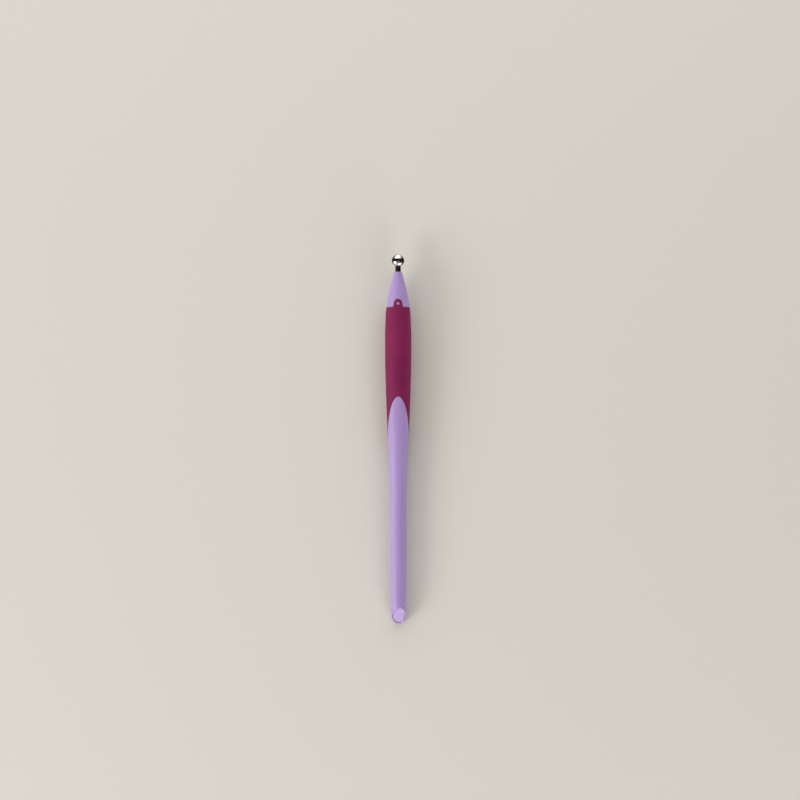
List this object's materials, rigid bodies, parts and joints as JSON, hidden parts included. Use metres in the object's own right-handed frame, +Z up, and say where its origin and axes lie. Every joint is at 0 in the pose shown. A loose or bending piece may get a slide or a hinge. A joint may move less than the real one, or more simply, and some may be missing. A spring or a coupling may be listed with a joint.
{
  "type": "embossing stylus",
  "caption": "Slim hand stylus with a polished steel ball on a short shank, a swelling soft sleeve with a pegged tongue, and a slanted butt closed by a plug.",
  "frame": {"origin": "centre of the footprint, on the plane that the stylus rests on", "axes": "+Y towards the ball, +Z up, away from the plane that it rests on and towards the side with the tongue; the stylus's own axis is raised 1.3 degrees towards the ball"},
  "size_m": [0.0128, 0.1799, 0.0131],
  "materials": {
    "handle_plastic": "satin lavender moulded plastic",
    "grip_rubber": "matte burgundy soft elastomer",
    "shank_steel": "turned steel, dark polished",
    "ball_steel": "mirror polished steel",
    "plug_plastic": "satin lavender moulded plastic"
  },
  "bodies": {
    "root": {"handle": "handle_plastic", "soft_grip": "grip_rubber", "tip_shank": "shank_steel", "ball_tip": "ball_steel", "end_plug": "plug_plastic"}
  },
  "joints": []
}
